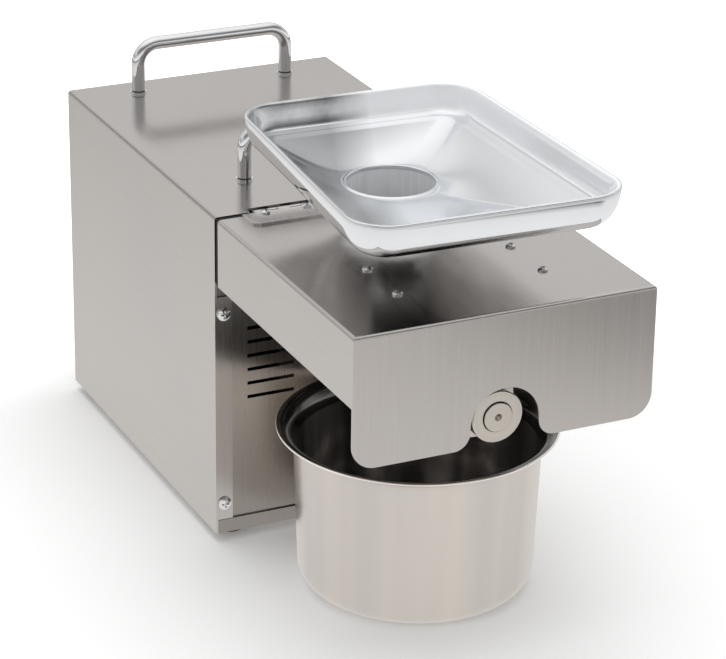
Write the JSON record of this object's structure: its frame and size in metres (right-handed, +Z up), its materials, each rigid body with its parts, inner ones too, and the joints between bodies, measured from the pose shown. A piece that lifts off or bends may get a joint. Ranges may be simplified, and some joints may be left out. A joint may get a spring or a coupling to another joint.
{
  "type": "oil press",
  "caption": "Countertop stainless screw oil press: motor casing with carrying handles, hinged front cover, feed tray, press chamber with nozzle, and a bowl for the oil.",
  "frame": {"origin": "centre of the bounding box's bottom face, on the surface that the press stands on", "axes": "+X to the press's left as it faces the user (right in a front view), -Y to the front, where the cover and nozzle are, +Y to the rear panel, +Z up"},
  "size_m": [0.17, 0.4068, 0.2485],
  "materials": {
    "brushed_sheet": "satin stainless sheet, fine straight grain",
    "hinge_steel": "satin stainless hinge leaves",
    "chrome_rod": "bright chrome-plated rod",
    "screw_steel": "bright pan-head screws",
    "polished_cast": "polished cast aluminium",
    "turned_steel": "turned stainless with fine circular marks",
    "bowl_steel": "spun satin stainless, bright rolled lip",
    "cast_case": "as-cast aluminium",
    "gear_steel": "oiled machined steel",
    "bearing_steel": "ground bearing steel",
    "motor_paint": "black enamel",
    "winding_copper": "enamelled copper",
    "magnet_black": "dark sintered magnet",
    "bracket_zinc": "zinc-plated sheet",
    "foot_rubber": "black moulded rubber",
    "black_plastic": "moulded black plastic",
    "rocker_plastic": "glossy black rocker",
    "board_laminate": "green circuit laminate",
    "contact_brass": "plated contact blades",
    "wire_jacket": "red wire insulation"
  },
  "bodies": {
    "root": {"casing": "brushed_sheet", "front_panel": "brushed_sheet", "rear_panel": "brushed_sheet", "base_plate": "brushed_sheet", "left_hinge_body_leaf": "hinge_steel", "left_hinge_pin": "hinge_steel", "right_hinge_body_leaf": "hinge_steel", "right_hinge_pin": "hinge_steel", "front_handle": "chrome_rod", "rear_handle": "chrome_rod", "foot_screws": "screw_steel", "casing_screws": "screw_steel", "handle_screws": "screw_steel", "hinge_screws": "screw_steel", "socket_screws": "screw_steel", "chamber_socket": "cast_case", "gearbox_case": "cast_case", "gearbox_cover": "cast_case", "motor_front_bell": "cast_case", "motor_rear_bell": "cast_case", "gearbox_bearings": "bearing_steel", "motor_shell": "motor_paint", "motor_magnets": "magnet_black", "motor_brushes": "magnet_black", "gearbox_bracket": "bracket_zinc", "board_bracket": "bracket_zinc", "foot_front_left": "foot_rubber", "foot_front_right": "foot_rubber", "foot_rear_left": "foot_rubber", "foot_rear_right": "foot_rubber", "motor_cradle": "foot_rubber", "board_parts": "black_plastic", "mains_inlet": "black_plastic", "power_switch_frame": "black_plastic", "direction_switch_frame": "black_plastic", "control_board": "board_laminate", "inlet_pins": "contact_brass", "wiring": "wire_jacket"},
    "cover": {"cover": "brushed_sheet", "cover_screws": "screw_steel", "heat_shield": "brushed_sheet", "left_hinge_cover_leaf": "hinge_steel", "right_hinge_cover_leaf": "hinge_steel"},
    "chamber": {"press_chamber": "turned_steel", "press_nozzle": "turned_steel"},
    "tray": {"feed_tray": "polished_cast"},
    "screw": {"press_screw": "turned_steel"},
    "output": {"output_shaft": "gear_steel", "output_gear": "gear_steel"},
    "layshaft": {"layshaft": "gear_steel", "layshaft_gear": "gear_steel"},
    "rotor": {"motor_shaft": "gear_steel", "armature": "winding_copper", "commutator": "winding_copper", "cooling_fan": "black_plastic", "motor_pinion": "gear_steel"},
    "bowl": {"oil_bowl": "bowl_steel"},
    "clamp": {"clamp_bolt": "black_plastic"},
    "power_button": {"power_rocker": "rocker_plastic"},
    "direction_button": {"direction_rocker": "rocker_plastic"}
  },
  "joints": [
    {"name": "cover_hinge", "type": "hinge", "parent": "root", "child": "cover", "pos_m": [0, -0.0287, 0.1936], "axis": [-1, 0, 0], "range_deg": [0, 95]},
    {"name": "chamber_pull", "type": "slide", "parent": "root", "child": "chamber", "axis": [0, -1, 0], "range_m": [0, 0.042]},
    {"name": "tray_lift", "type": "slide", "parent": "chamber", "child": "tray", "axis": [0, 0, 1], "range_m": [0, 0.42]},
    {"name": "motor_spin", "type": "hinge", "parent": "root", "child": "rotor", "pos_m": [0, 0, 0.062], "axis": [0, 1, 0], "continuous": true},
    {"name": "layshaft_spin", "type": "hinge", "parent": "root", "child": "layshaft", "pos_m": [0.02486, 0, 0.098], "axis": [0, 1, 0], "continuous": true},
    {"name": "output_spin", "type": "hinge", "parent": "root", "child": "output", "pos_m": [0, 0, 0.134], "axis": [0, 1, 0], "continuous": true},
    {"name": "screw_spin", "type": "hinge", "parent": "chamber", "child": "screw", "pos_m": [0, 0, 0.134], "axis": [0, 1, 0], "continuous": true},
    {"name": "bowl_slide", "type": "slide", "parent": "root", "child": "bowl", "axis": [0, -1, 0], "range_m": [0, 0.2]},
    {"name": "clamp_turn", "type": "hinge", "parent": "root", "child": "clamp", "pos_m": [0.03, -0.0335, 0.134], "axis": [1, 0, 0], "range_deg": [0, 360]},
    {"name": "power_rock", "type": "hinge", "parent": "root", "child": "power_button", "pos_m": [0.014, 0.1983, 0.15], "axis": [1, 0, 0], "range_deg": [-16, 0]},
    {"name": "direction_rock", "type": "hinge", "parent": "root", "child": "direction_button", "pos_m": [0.048, 0.1983, 0.15], "axis": [1, 0, 0], "range_deg": [-8, 8]}
  ],
  "couplings": [
    {"joint": "chamber_pull", "follows": "cover_hinge", "m_per_rad": 0.025},
    {"joint": "tray_lift", "follows": "cover_hinge", "m_per_rad": 0.25},
    {"joint": "layshaft_spin", "follows": "motor_spin", "ratio": -0.25},
    {"joint": "output_spin", "follows": "motor_spin", "ratio": 0.0625},
    {"joint": "screw_spin", "follows": "motor_spin", "ratio": 0.0625}
  ]
}
